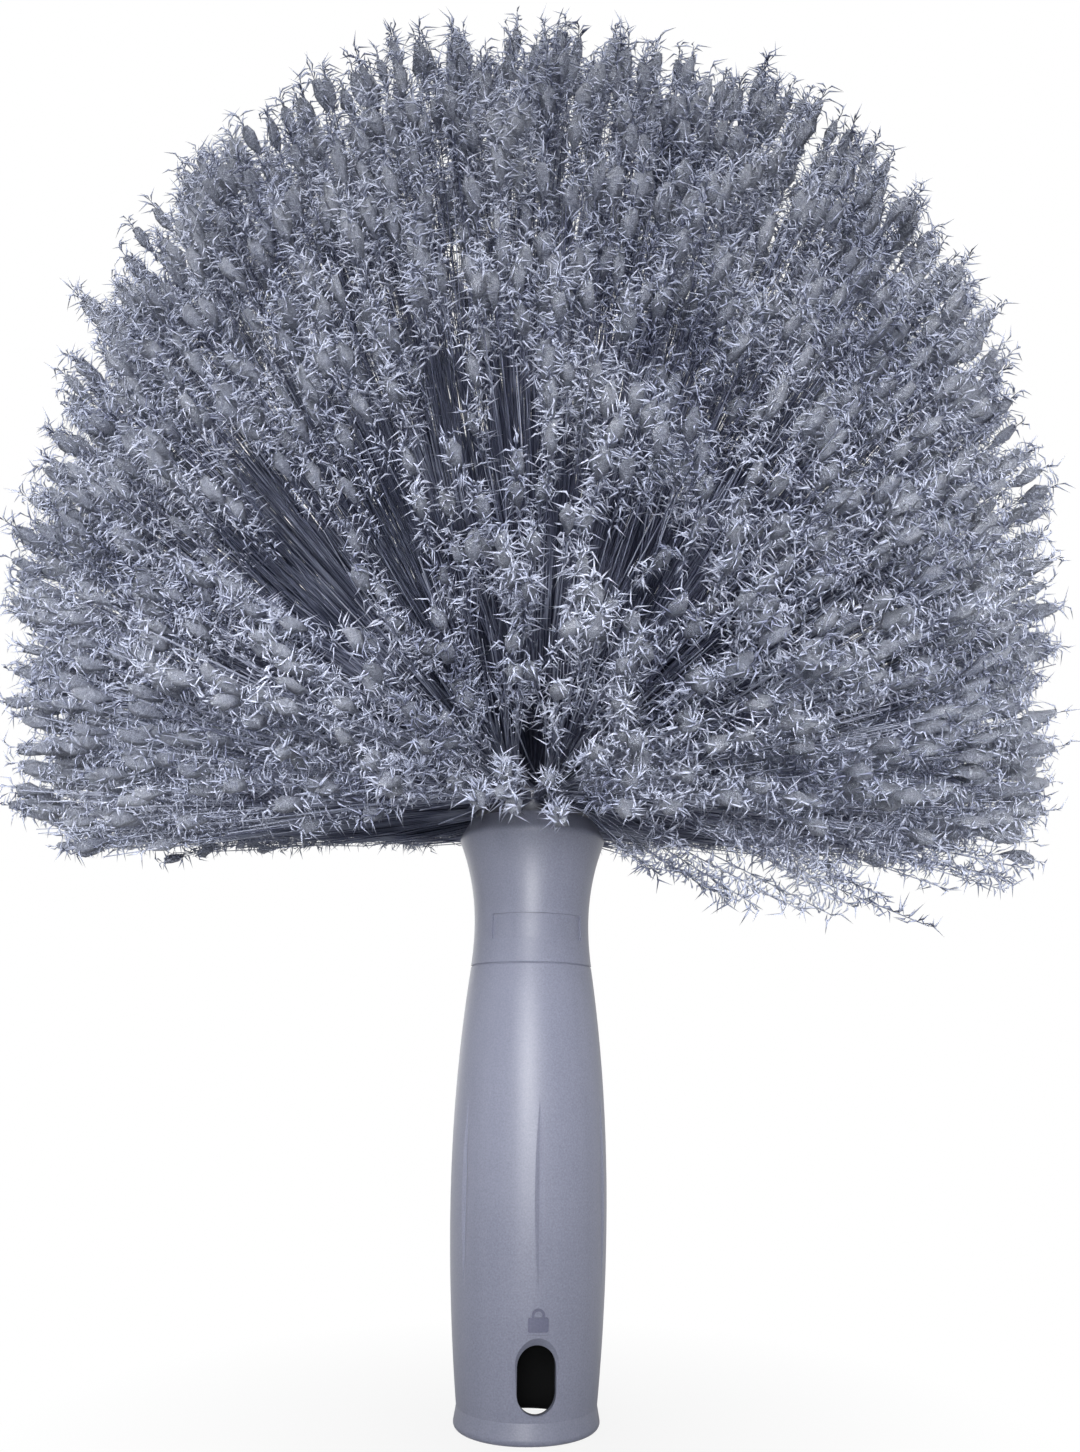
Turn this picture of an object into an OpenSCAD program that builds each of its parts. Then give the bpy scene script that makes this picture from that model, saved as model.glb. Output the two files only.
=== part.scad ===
// Cobweb brush: a hollow hand grip, a flared collar and a round head of long bristles.
// Lengths are millimetres. Z runs up the handle from the middle of the pole socket's mouth,
// and the latch slot in the grip faces -Y.

/* [Grip] */
// Radius of the grip at its widest place
grip_r = 19; // [18.6:0.1:20]
// Height of the widest place
grip_mid_z = 52; // [50:0.5:54]
// Radius of the long arc below the widest place
lower_arc_r = 430; // [400:5:480]
// Radius of the long arc above the widest place
upper_arc_r = 380; // [370:5:420]
// Height of the seam between grip and collar
seam_z = 104; // [102:0.5:106]
// Radius of the flared lip at the bottom
lip_r = 16.95; // [16.8:0.05:17.3]
// Height over which the lip flares
lip_h = 4.6; // [4:0.1:5.4]
// Radius of the rounding under the lip
lip_round = 1.2; // [0.8:0.1:1.4]
// Depth of a grip flute at its middle
flute_depth = 0.55; // [0.4:0.05:0.7]
// Half the angle between the two walls of a flute
flute_half_angle = 65; // [55:1:70]
// Number of flutes round the grip
flutes = 6; // [4:1:8]

/* [Pole socket] */
// Radius of the socket at its mouth
socket_r = 14.5; // [14:0.1:14.8]
// Depth of the straight part of the socket
socket_straight = 26; // [24:1:30]
// Radius of the socket at its closed end
socket_end_r = 13; // [12.4:0.1:13.2]
// Height of the closed end of the socket
socket_end_z = 96; // [90:1:97]
// Width of the latch slot
slot_w = 8.8; // [8:0.1:9.6]
// Lowest place of the latch slot
slot_low_z = 6; // [5.8:0.1:6.6]
// Highest place of the latch slot
slot_high_z = 20; // [18:0.5:21]
// Width of the chamfer round the latch slot
slot_chamfer = 1; // [0.6:0.1:1.2]

/* [Collar] */
// Depth of the groove where the grip and the collar meet
groove_depth = 0.3; // [0.2:0.05:0.4]
// Radius of the collar at its narrow neck
neck_r = 14.8; // [14.6:0.1:15.2]
// Height of the narrow neck
neck_z = 114.3; // [113:0.1:115]
// Radius of the hollow arc below the neck
neck_lower_arc_r = 76; // [70:1:90]
// Radius of the hollow arc above the neck
neck_upper_arc_r = 60; // [56:1:64]
// Height of the widest place of the rim
rim_z = 136.8; // [136:0.1:137.2]
// Height of the top of the collar
collar_top_z = 141.8; // [141.4:0.1:142.2]
// Radius of the collar at its top edge
collar_top_r = 16.4; // [16.2:0.1:16.8]
// Radius of the rounding of the rim
rim_round = 2; // [1:0.1:2.4]
// Lowest place of the bare band sunk in the front
band_low_z = 110; // [109:0.1:111]
// Highest place of the bare band
band_high_z = 116.2; // [115.5:0.1:117]
// Depth of the band
band_depth = 0.5; // [0.3:0.1:0.6]
// Angle that the band covers round the front
band_angle = 99; // [80:1:110]

/* [Inside] */
// Radius of the spigot that joins grip and collar
spigot_r = 11.4; // [11:0.1:11.6]
// Radius of the hollow of the spigot
spigot_hollow_r = 8.6; // [8:0.1:9]
// Thickness of the wall that closes the socket
socket_web = 4; // [3:0.5:5]
// Height of the top of the spigot
spigot_top_z = 117; // [115:0.5:117.5]
// Height of the under side of the collar's web
web_low_z = 117.6; // [117.6:0.1:118]
// Height of the top of the collar's web
web_high_z = 121; // [120.5:0.5:122]
// Radius of the cup above the web
cup_r = 13.1; // [12.9:0.1:13.2]
// Radius of the clamp screw's shank
screw_r = 2.4; // [2.2:0.1:2.6]
// Radius of the clamp screw's head
screw_head_r = 4.6; // [4.2:0.1:5]
// Radius of the washer under the head
washer_r = 6.4; // [6:0.1:7]
// Thickness of the washer
washer_t = 1; // [0.8:0.1:1.2]

/* [Bristle head] */
// Radius of the ball that the tufts stand on
ball_r = 15.5; // [15:0.1:16]
// Height of the middle of the ball
ball_z = 147; // [146.6:0.1:147.4]
// Radius of the core inside the ball
core_r = 11; // [10.5:0.1:11.5]
// Length of the lowest strands from the middle of the ball
side_reach = 130; // [115:1:140]
// Length that the strands at the crown have over those at the side
crown_extra = 76; // [60:1:95]
// How fast that length falls away from the crown
crown_power = 1.7; // [1.5:0.1:2.4]
// Angle between neighbouring rings of tufts at their tips
ring_pitch = 18.2; // [18:0.1:18.4]
// Angle between the last two rings, which is less so that the skirt is dense
skirt_pitch = 16.2; // [16:0.1:16.4]
// How many degrees the skirt hangs lower in front than at the sides, and stands higher behind
skirt_lean = 9; // [0:0.5:10]
// Angle at which a tuft leaves the ball, for each degree of its tip's angle
root_share = 1.07; // [1.06:0.005:1.08]
// Radius of the ring of strands where a tuft leaves the ball
tuft_root_r = 1.15; // [1.1:0.05:1.25]
// Radius of a strand where it leaves the ball
strand_root_r = 0.5; // [0.4:0.05:0.55]
// Radius of a strand at its widest, for each millimetre of its length
strand_swell = 0.04; // [0.02:0.005:0.045]
// Seed of the small differences between strands
strand_seed = 7; // [1:1:50]
// Length of a tuft's wire anchor
anchor_l = 3.2; // [2.6:0.1:3.2]
// Width of a tuft's wire anchor
anchor_w = 1.6; // [1.2:0.1:1.8]
// Thickness of a tuft's wire anchor
anchor_t = 0.5; // [0.4:0.05:0.6]

/* [Hidden] */
$fn = 96;
OVER = 1;
ARC_FN = 1440;
CREVICE = 0.1;

// A strand has three sides. It is narrow as far as its bend, widest near its tip, and then pointed
SIDES = 3;
STRAND_BENT_AT = 0.45;
STRAND_WIDEST_AT = 0.82;
BENT_SWELL = 0.4;
ROOT_DEPTH = 1;
// Strands round the middle one of a tuft, and how far a strand strays in degrees and in length
STRANDS_ROUND = 6;
STRAY_ANGLE = 1.2;
STRAY_LENGTH = 0.03;
// Shift of each ring against the one above it, in tufts, and shortening below the level, in mm a degree
RING_SHIFT = 0.37;
SKIRT_TRIM = 0.65;
// Degrees by which the skirt stands higher both in front and behind than its lean alone gives
SKIRT_LIFT = 3;

seat_r = 14.7;
seat_low_z = collar_top_z - 2;
seat_high_z = collar_top_z + 0.6;
screw_low_z = socket_end_z - washer_t;
screw_top_z = 138;
screw_head_h = 2.6;
clear_r = screw_r + 0.3;
recess_l = 4.8;
recess_w = 1;
recess_depth = 1.6;

// Tip angle and number of tufts of each ring, from the crown down
ring_angles = [0, ring_pitch, 2 * ring_pitch, 3 * ring_pitch, 4 * ring_pitch, 4 * ring_pitch + skirt_pitch];
ring_counts = [1, 6, 11, 15, 17, 17];
// First and last ring of each tuft node, and the angles from the crown between which its slice lies
node_rings = [[0, 1], [2, 2], [3, 3], [4, 4], [5, 5]];
slice_edges = [0, 29, 49, 68.5, 86, 120];

GRIP_COLOR = [0.55, 0.57, 0.65];
BLOCK_COLOR = [0.35, 0.37, 0.44];
STEEL_COLOR = [0.75, 0.76, 0.78];
TUFT_COLORS = [
    [0.62, 0.65, 0.74], [0.56, 0.59, 0.68], [0.5, 0.53, 0.62], [0.44, 0.47, 0.56], [0.38, 0.41, 0.5]
];

// How far an arc of radius r has left its tangent after a distance d along it
function arc_rise(r, d) = r - sqrt(r * r - d * d);

// Where a line from p touches the right side of a circle with its middle at c
function touch(c, r, p) =
    let(d = p - c, a = atan2(d[1], d[0]) - sign(d[1]) * acos(r / norm(d)))
    c + r * [cos(a), sin(a)];

// Half of a barrel-shaped outline: all that lies inside a long arc that is widest at height z
module barrel_half(arc_r, z, low, high) {
    intersection() {
        translate([0, low]) square([grip_r + OVER, high - low]);
        translate([grip_r - arc_r, z]) circle(arc_r, $fn = ARC_FN);
    }
}

// A narrow groove, half in the grip and half in the collar, marks where they meet
module seam_groove() {
    seam_r = grip_r - arc_rise(upper_arc_r, seam_z - grip_mid_z);
    translate([seam_r, seam_z]) circle(groove_depth, $fn = 4);
}

module grip_outline() {
    waist = [grip_r - arc_rise(lower_arc_r, grip_mid_z - lip_h), lip_h];
    lip = [lip_r - lip_round, lip_round];
    barrel_half(lower_arc_r, grip_mid_z, lip_h, grip_mid_z);
    difference() {
        barrel_half(upper_arc_r, grip_mid_z, grip_mid_z, seam_z);
        seam_groove();
    }
    polygon([[0, 0], [lip[0], 0], touch(lip, lip_round, waist), waist, [0, lip_h]]);
    translate(lip) circle(lip_round);
    square([spigot_r, spigot_top_z]);
}

// The socket narrows above its straight part, as the cone of a pole does
module socket() {
    translate([0, 0, -OVER]) cylinder(r = socket_r, h = socket_straight + OVER);
    translate([0, 0, socket_straight])
        cylinder(r1 = socket_r, r2 = socket_end_r, h = socket_end_z - socket_straight);
}

// The slot is round at both ends, and a chamfer widens it at the outer face of the grip
module latch_slot() {
    end_r = slot_w / 2;
    low = slot_low_z + end_r;
    high = slot_high_z - end_r;
    face_y = -(grip_r - arc_rise(lower_arc_r, grip_mid_z - (low + high) / 2));
    for (z = [low, high])
        translate([0, 0, z]) rotate([90, 0, 0]) {
            cylinder(r = end_r, h = grip_r + OVER);
            translate([0, 0, -face_y - slot_chamfer])
                cylinder(r1 = end_r, r2 = end_r + 2 * slot_chamfer, h = 2 * slot_chamfer);
        }
    translate([-end_r, -grip_r - OVER, low]) cube([slot_w, grip_r + OVER, high - low]);
    translate([0, 0, low]) linear_extrude(high - low)
        polygon([
            [-end_r, face_y + slot_chamfer], [end_r, face_y + slot_chamfer],
            [end_r + 2 * slot_chamfer, face_y - slot_chamfer],
            [-end_r - 2 * slot_chamfer, face_y - slot_chamfer]
        ]);
}

// Straight grooves fade out by themselves where the barrel falls away from them
module grip_flutes() {
    top_y = grip_r + OVER;
    bottom_y = grip_r - flute_depth;
    half_w = (top_y - bottom_y) * tan(flute_half_angle);
    for (i = [0 : flutes - 1])
        rotate([0, 0, i * 360 / flutes]) translate([0, 0, lip_h]) linear_extrude(seam_z - 2 * lip_h)
            polygon([[0, -bottom_y], [half_w, -top_y], [-half_w, -top_y]]);
}

module grip() {
    color(GRIP_COLOR) difference() {
        rotate_extrude() grip_outline();
        socket();
        latch_slot();
        grip_flutes();
        cylinder(r = clear_r, h = seam_z);
        translate([0, 0, socket_end_z + socket_web]) cylinder(r = spigot_hollow_r, h = seam_z);
    }
}

// Two hollow arcs make the neck. A rounding joins the upper one to the slope of the top edge
module collar_outline() {
    upper_mid = [neck_r + neck_upper_arc_r, neck_z];
    lower_mid = [neck_r + neck_lower_arc_r, neck_z];
    top = [collar_top_r, collar_top_z];
    across = sqrt(pow(neck_upper_arc_r + rim_round, 2) - pow(rim_z - neck_z, 2));
    rim = [upper_mid[0] - across, rim_z];
    rim_low = rim + rim_round * unit(upper_mid - rim);
    difference() {
        translate([0, seam_z]) square([rim_low[0], rim_low[1] - seam_z]);
        translate([0, neck_z]) intersection() {
            square(2 * neck_upper_arc_r);
            translate(upper_mid - [0, neck_z]) circle(neck_upper_arc_r, $fn = ARC_FN);
        }
        translate([0, seam_z - OVER]) intersection() {
            square([neck_lower_arc_r, neck_z - seam_z + OVER]);
            translate(lower_mid - [0, seam_z - OVER]) circle(neck_lower_arc_r, $fn = ARC_FN);
        }
        seam_groove();
    }
    polygon([[0, rim_low[1]], rim_low, touch(rim, rim_round, top), top, [0, collar_top_z]]);
    translate(rim) circle(rim_round);
}

// A bare shallow band round the front of the neck
module collar_band() {
    rotate([0, 0, -90 - band_angle / 2]) rotate_extrude(angle = band_angle)
        translate([neck_r - band_depth, band_low_z]) square([neck_r, band_high_z - band_low_z]);
}

module collar() {
    color(GRIP_COLOR) difference() {
        rotate_extrude() collar_outline();
        collar_band();
        translate([0, 0, seam_z - OVER])
            cylinder(r = spigot_r + CREVICE, h = web_low_z - seam_z + OVER);
        cylinder(r = clear_r, h = collar_top_z);
        translate([0, 0, web_high_z]) cylinder(r = cup_r, h = collar_top_z);
        translate([0, 0, seat_low_z]) cylinder(r = seat_r + CREVICE, h = collar_top_z);
    }
}

// The block stands in the collar's cup and carries the slices of the ball on its round core
module tuft_block() {
    color(BLOCK_COLOR) difference() {
        union() {
            translate([0, 0, web_high_z])
                cylinder(r = cup_r - CREVICE, h = seat_low_z - web_high_z);
            translate([0, 0, seat_low_z]) cylinder(r = seat_r, h = seat_high_z - seat_low_z);
            translate([0, 0, ball_z]) intersection() {
                sphere(core_r);
                translate([0, 0, seat_high_z - ball_z + core_r]) cube(2 * core_r, center = true);
            }
        }
        cylinder(r = screw_r, h = screw_top_z);
    }
}

// A pan-head screw runs up from the closed end of the socket into the block
module clamp_screw() {
    color(STEEL_COLOR) {
        translate([0, 0, screw_low_z]) cylinder(r = screw_r, h = screw_top_z - screw_low_z);
        translate([0, 0, screw_low_z - screw_head_h]) difference() {
            cylinder(r1 = screw_head_r - 1, r2 = screw_head_r, h = screw_head_h);
            for (turn = [0, 90])
                rotate([0, 0, turn]) cube([recess_l, recess_w, 2 * recess_depth], center = true);
        }
    }
}

module screw_washer() {
    color(STEEL_COLOR) translate([0, 0, screw_low_z]) difference() {
        cylinder(r = washer_r, h = washer_t);
        translate([0, 0, -OVER]) cylinder(r = screw_r + CREVICE, h = washer_t + 2 * OVER);
    }
}

// A direction from its angle from the crown and its angle round the handle
function direction(tilt, turn) = [sin(tilt) * cos(turn), sin(tilt) * sin(turn), cos(tilt)];
function tilt_across(tilt, turn) = [cos(tilt) * cos(turn), cos(tilt) * sin(turn), -sin(tilt)];
function turn_across(turn) = [-sin(turn), cos(turn), 0];
function unit(v) = v / norm(v);

// Reach of the trimmed head from the middle of the ball, for the angle from the crown
function reach(tilt) = tilt < 90 ? side_reach + crown_extra * pow(cos(tilt), crown_power)
    : side_reach - SKIRT_TRIM * (tilt - 90);

// Angle from the crown of a tip, for its ring's angle and its turn. The front is at -90 degrees
function leaned(tilt, turn) =
    let(front = -sin(turn))
    tilt + (skirt_lean * front - SKIRT_LIFT * front * front) * tilt / ring_angles[len(ring_angles) - 1];

// Turn of tuft i in a ring, with each ring shifted against its neighbours
function tuft_turn(ring, i) = (i + RING_SHIFT * ring) * 360 / ring_counts[ring];

// Sideways place of strand j in its tuft: one in the middle and the others round it
function strand_side(j, tilt, turn) =
    let(a = j * 360 / STRANDS_ROUND)
    j == 0 ? [0, 0, 0] : cos(a) * tilt_across(tilt, turn) + sin(a) * turn_across(turn);

// Root, bend and tip of one strand. It leaves the ball square to it and then curves down
function strand_spine(tilt, turn, j, stray) =
    let(
        root_tilt = root_share * tilt,
        root_way = unit(direction(root_tilt, turn) + strand_side(j, root_tilt, turn) * tuft_root_r / ball_r),
        tip_tilt = leaned(tilt, turn),
        spread = tan(ring_pitch / 3),
        off = strand_side(j, tip_tilt, turn) * spread
            + sin(STRAY_ANGLE) * (stray[0] * tilt_across(tip_tilt, turn) + stray[1] * turn_across(turn)),
        tip_way = unit(direction(tip_tilt, turn) + off),
        tip_reach = reach(acos(tip_way[2])) * (1 + STRAY_LENGTH * stray[2]),
        root = (ball_r - ROOT_DEPTH) * root_way,
        bend = root + root_way * (tip_reach - ball_r) / 2,
        tip = tip_reach * tip_way
    )
    [root, bend, tip];

function bezier(s, t) = pow(1 - t, 2) * s[0] + 2 * t * (1 - t) * s[1] + t * t * s[2];
function bezier_way(s, t) = unit((1 - t) * (s[1] - s[0]) + t * (s[2] - s[1]));

// Corners of a strand's cross-section at t, turned by twist. The side vector is never along a strand
function section(s, t, r, side, twist) =
    let(
        way = bezier_way(s, t),
        x = unit(cross(way, side)),
        y = cross(way, x),
        p = bezier(s, t)
    )
    [for (k = [0 : SIDES - 1]) let(a = twist + k * 360 / SIDES) p + r * (cos(a) * x + sin(a) * y)];

function strand_points(s, side, twist) =
    let(
        long = norm(s[2] - s[0]),
        wide = strand_swell * long,
        narrow = strand_root_r + BENT_SWELL * (wide - strand_root_r)
    )
    concat(
        section(s, 0, strand_root_r, side, twist),
        section(s, STRAND_BENT_AT, narrow, side, twist),
        section(s, STRAND_WIDEST_AT, wide, side, twist),
        [s[2]]
    );

// Faces of one strand whose points start at number n: its root, two lengths of side, and its point
function strand_faces(n) = concat(
    [[for (k = [0 : SIDES - 1]) n + k]],
    [for (row = [0, 1], k = [0 : SIDES - 1], half = [0, 1])
        let(a = n + row * SIDES + k, b = n + row * SIDES + (k + 1) % SIDES)
        half == 0 ? [a, a + SIDES, b] : [b, a + SIDES, b + SIDES]],
    [for (k = [0 : SIDES - 1])
        [n + 2 * SIDES + k, n + 3 * SIDES, n + 2 * SIDES + (k + 1) % SIDES]]
);

// All strands of the rings from first to last as one solid of many closed shells
module strands(first, last) {
    count = STRANDS_ROUND + 1;
    each_points = 3 * SIDES + 1;
    shells = [
        for (ring = [first : last], i = [0 : ring_counts[ring] - 1], j = [0 : count - 1])
            let(
                stray = rands(-1, 1, 4, strand_seed + 1000 * ring + 20 * i + j),
                turn = tuft_turn(ring, i),
                spine = strand_spine(ring_angles[ring], turn, j, stray)
            )
            strand_points(spine, turn_across(turn), 60 * stray[3])
    ];
    translate([0, 0, ball_z]) polyhedron(
        points = [for (shell = shells, p = shell) p],
        faces = [for (n = [0 : len(shells) - 1], f = strand_faces(n * each_points)) f]
    );
}

// Where the anchors of the rings from first to last lie, at the bottom of their tufts' holes
module at_anchors(first, last) {
    for (ring = [first : last], i = [0 : ring_counts[ring] - 1])
        translate([0, 0, ball_z])
            rotate([0, root_share * ring_angles[ring], tuft_turn(ring, i)])
                translate([0, 0, core_r]) children();
}

module anchor(below) {
    translate([-anchor_w / 2, -anchor_l / 2, -below]) cube([anchor_w, anchor_l, anchor_t + below]);
}

// The part of the ball between two angles from the crown, cut flat where it stands on the block
module ball_slice(from, to) {
    far = 2 * ball_r;
    translate([0, 0, ball_z]) rotate_extrude() intersection() {
        difference() {
            circle(ball_r);
            circle(core_r);
        }
        polygon([[0, 0], far * [sin(from), cos(from)], far * [sin(to), cos(to)]]);
        translate([0, seat_high_z - ball_z]) square(far);
    }
}

// A slice of the ball with its strands, and pockets for its anchors
module tufts(n) {
    first = node_rings[n][0];
    last = node_rings[n][1];
    color(TUFT_COLORS[n]) {
        difference() {
            ball_slice(slice_edges[n], slice_edges[n + 1]);
            at_anchors(first, last) anchor(OVER);
        }
        strands(first, last);
    }
}

module tuft_anchors() {
    color(STEEL_COLOR) at_anchors(0, len(ring_counts) - 1) anchor(0);
}

module crown_tufts() { tufts(0); }
module upper_tufts() { tufts(1); }
module shoulder_tufts() { tufts(2); }
module side_tufts() { tufts(3); }
module skirt_tufts() { tufts(4); }

grip();
collar();
tuft_block();
clamp_screw();
screw_washer();
tuft_anchors();
crown_tufts();
upper_tufts();
shoulder_tufts();
side_tufts();
skirt_tufts();
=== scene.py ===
import math

import bpy
import numpy as np
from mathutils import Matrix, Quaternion, Vector


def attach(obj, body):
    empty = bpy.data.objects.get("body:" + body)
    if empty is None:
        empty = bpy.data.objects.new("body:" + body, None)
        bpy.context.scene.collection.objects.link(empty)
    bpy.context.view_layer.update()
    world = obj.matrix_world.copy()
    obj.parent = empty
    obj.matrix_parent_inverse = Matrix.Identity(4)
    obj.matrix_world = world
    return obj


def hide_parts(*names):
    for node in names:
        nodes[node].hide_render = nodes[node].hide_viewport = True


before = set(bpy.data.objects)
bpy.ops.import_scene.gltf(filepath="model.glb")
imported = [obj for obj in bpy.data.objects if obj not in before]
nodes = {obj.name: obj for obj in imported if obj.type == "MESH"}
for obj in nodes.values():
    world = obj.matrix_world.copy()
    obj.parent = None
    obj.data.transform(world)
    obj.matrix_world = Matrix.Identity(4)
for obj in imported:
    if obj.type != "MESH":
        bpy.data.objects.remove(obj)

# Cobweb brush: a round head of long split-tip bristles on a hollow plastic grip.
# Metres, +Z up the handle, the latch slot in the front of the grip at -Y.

MM = 0.001

# The bristle head, from the part's own sizes. A tilt is an angle from straight up and a turn
# an angle round the handle, both in degrees.
BALL_MIDDLE = np.array([0.0, 0.0, 147 * MM])
BALL_RADIUS = 15.5 * MM
# Reach of the tips from the ball's middle: at the side, more at the crown, less a degree below.
SIDE_REACH = 130 * MM
CROWN_EXTRA = 76 * MM
CROWN_POWER = 1.7
SKIRT_TRIM = 0.65 * MM
# Rings of tufts: their tilts, their numbers of tufts and by what share of a tuft each is turned.
RING_ANGLES = [0, 18.2, 36.4, 54.6, 72.8, 89]
RING_TUFTS = [1, 6, 11, 15, 17, 17]
RING_SHIFT = 0.37
# A hole's tilt on the ball, as a share of its tuft's.
ROOT_SHARE = 1.07
# How the skirt hangs lower at the front and higher at the back.
SKIRT_LEAN = 9.0
SKIRT_LIFT = 3.0


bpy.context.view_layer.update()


# Node trees


class Value:
    """A node's output. Arithmetic on it adds Math nodes to its tree."""

    def __init__(self, tree, socket):
        self.tree, self.socket = tree, socket

    def _math(self, operation, first, second):
        return self.tree.node("ShaderNodeMath", {"operation": operation}, [first, second])

    def __add__(self, other):
        return self._math("ADD", self, other)

    def __radd__(self, other):
        return self._math("ADD", other, self)

    def __sub__(self, other):
        return self._math("SUBTRACT", self, other)

    def __rsub__(self, other):
        return self._math("SUBTRACT", other, self)

    def __mul__(self, other):
        return self._math("MULTIPLY", self, other)

    def __rmul__(self, other):
        return self._math("MULTIPLY", other, self)

    def __truediv__(self, other):
        return self._math("DIVIDE", self, other)

    def __pow__(self, other):
        return self._math("POWER", self, other)

    def __gt__(self, other):
        return self._math("GREATER_THAN", self, other)

    def clamped(self):
        return self.tree.node("ShaderNodeClamp", {}, [self, 0.0, 1.0])


class Tree:
    """Adds nodes to a shader or geometry tree."""

    def __init__(self, node_tree):
        self.nodes, self.links = node_tree.nodes, node_tree.links

    def node(self, kind, settings=None, inputs=None, out=0):
        """Adds a node. Settings come first, then its sockets by name or place."""
        made = self.nodes.new(kind)
        for key, value in (settings or {}).items():
            if key == "stops":
                ramp = made.color_ramp
                while len(ramp.elements) < len(value):
                    ramp.elements.new(0.5)
                for stop, (place, colour) in zip(ramp.elements, value):
                    stop.position, stop.color = place, colour
            else:
                setattr(made, key, value)
        given = inputs or {}
        pairs = enumerate(given) if isinstance(given, list) else given.items()
        shown = [s for s in made.inputs if s.enabled]
        for key, value in pairs:
            socket = self.found(shown, key)
            several = isinstance(value, tuple) and isinstance(value[0], Value)
            for one in value if several else [value]:
                if isinstance(one, Value):
                    self.links.new(one.socket, socket)
                else:
                    socket.default_value = one
        self.last = made
        return self.value(made, out) if made.outputs else None

    def value(self, made, out=0):
        """One of a node's outputs, by name or place."""
        return Value(self, self.found([s for s in made.outputs if s.enabled], out))

    def found(self, sockets, key):
        """The socket of that name, or in that place."""
        return sockets[key] if isinstance(key, int) else next(s for s in sockets if s.name == key)

    def vector(self, operation, *inputs, out=0):
        return self.node("ShaderNodeVectorMath", {"operation": operation}, list(inputs), out)

    def scaled(self, vector, amount):
        """A vector times a value."""
        made = self.vector("SCALE", vector)
        self.links.new(amount.socket, made.socket.node.inputs["Scale"])
        return made

    def mixed(self, share, first, second):
        """A colour between two others."""
        colours = {"Factor": share, "A": first, "B": second}
        return self.node("ShaderNodeMix", {"data_type": "RGBA"}, colours)


def linear(red, green, blue):
    """A colour as seen on a screen, 0 to 255, as the colour a node holds."""
    parts = []
    for part in (red, green, blue):
        c = part / 255
        parts.append(c / 12.92 if c <= 0.04045 else ((c + 0.055) / 1.055) ** 2.4)
    return (*parts, 1.0)


def material(name):
    """A new material, its tree and its main shader."""
    made = bpy.data.materials.new(name)
    made.use_nodes = True
    tree = Tree(made.node_tree)
    shader = made.node_tree.nodes["Principled BSDF"]
    return made, tree, shader


def feed(tree, shader, socket, value):
    """Links a value to one of the shader's sockets."""
    tree.links.new(value.socket, shader.inputs[socket])


# Materials


# What lies within this radius, up to this height, is the wall of the pole socket, painted near-black
# there as painted shade.
SOCKET_WALL = 15.0 * MM
SOCKET_END = 88 * MM
SOCKET_PAINTED_SHADE = (7, 8, 10)


def handle_plastic(name, dark, light):
    """Satin blue-grey moulding with a fine fleck, soft flow marks and light wear, and painted shade on
    the pole socket's inner wall.
    """
    made, tree, shader = material(name)
    place = tree.node("ShaderNodeTexCoord", out="Object")
    fleck = tree.node("ShaderNodeTexNoise", {}, {"Vector": place, "Scale": 2600.0, "Detail": 2.0})
    cloud = tree.node("ShaderNodeTexNoise", {}, {"Vector": place, "Scale": 34.0, "Detail": 3.0})
    flow = tree.node("ShaderNodeMapping", {}, {"Vector": place, "Scale": (260.0, 260.0, 9.0)})
    streak = tree.node("ShaderNodeTexNoise", {}, {"Vector": flow, "Scale": 1.0, "Detail": 2.0})
    tone = (0.5 + (fleck - 0.5) * 1.5 + (cloud - 0.5) * 0.7 + (streak - 0.5) * 0.35).clamped()
    colour = tree.mixed(tone, linear(*dark), linear(*light))
    # The socket's wall is painted near-black: painted shade, for the shade inside the socket where
    # little light reaches.
    across = tree.node("ShaderNodeSeparateXYZ", {}, [place])
    depth = tree.value(tree.last, 1)
    height = tree.value(tree.last, 2)
    outside = ((across * across + depth * depth) > SOCKET_WALL**2) + (height > SOCKET_END)
    outside = outside.clamped()
    feed(tree, shader, "Base Color", tree.mixed(outside, linear(*SOCKET_PAINTED_SHADE), colour))
    rough = 0.95 - outside * 0.55 + (cloud - 0.5) * 0.14 + (fleck - 0.5) * 0.12
    feed(tree, shader, "Roughness", rough)
    bump = tree.node(
        "ShaderNodeBump",
        {},
        {"Strength": 0.16, "Distance": 0.00012, "Height": fleck + streak * 0.4},
    )
    feed(tree, shader, "Normal", bump)
    shader.inputs["Specular IOR Level"].default_value = 0.38
    return made


def block_plastic():
    """Dark moulding of the tuft block and its ball."""
    made, tree, shader = material("block_plastic")
    place = tree.node("ShaderNodeTexCoord", out="Object")
    cloud = tree.node("ShaderNodeTexNoise", {}, {"Vector": place, "Scale": 160.0, "Detail": 3.0})
    feed(tree, shader, "Base Color", tree.mixed(cloud, linear(46, 49, 62), linear(70, 73, 90)))
    feed(tree, shader, "Roughness", 0.45 + (cloud - 0.5) * 0.3)
    bump = tree.node("ShaderNodeBump", {}, {"Strength": 0.2, "Distance": 0.0002, "Height": cloud})
    feed(tree, shader, "Normal", bump)
    return made


def zinc_steel():
    """Zinc-plated steel of the screw, its washer and the tufts' anchors."""
    made, tree, shader = material("zinc_steel")
    place = tree.node("ShaderNodeTexCoord", out="Object")
    cloud = tree.node("ShaderNodeTexNoise", {}, {"Vector": place, "Scale": 420.0, "Detail": 4.0})
    colour = tree.mixed(cloud, linear(168, 170, 176), linear(206, 206, 204))
    feed(tree, shader, "Base Color", colour)
    feed(tree, shader, "Roughness", 0.26 + cloud * 0.24)
    shader.inputs["Metallic"].default_value = 1.0
    return made


# The bristles' own map. Its lower half holds strands and hairs, each in a narrow strip from root
# to tip. Its upper half holds the fuzz of the locks, in a few wide strips.
BRISTLE_MAP = "OFBake"
STRANDS_WIDE = 160
FUZZ_WIDE = 12


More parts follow.
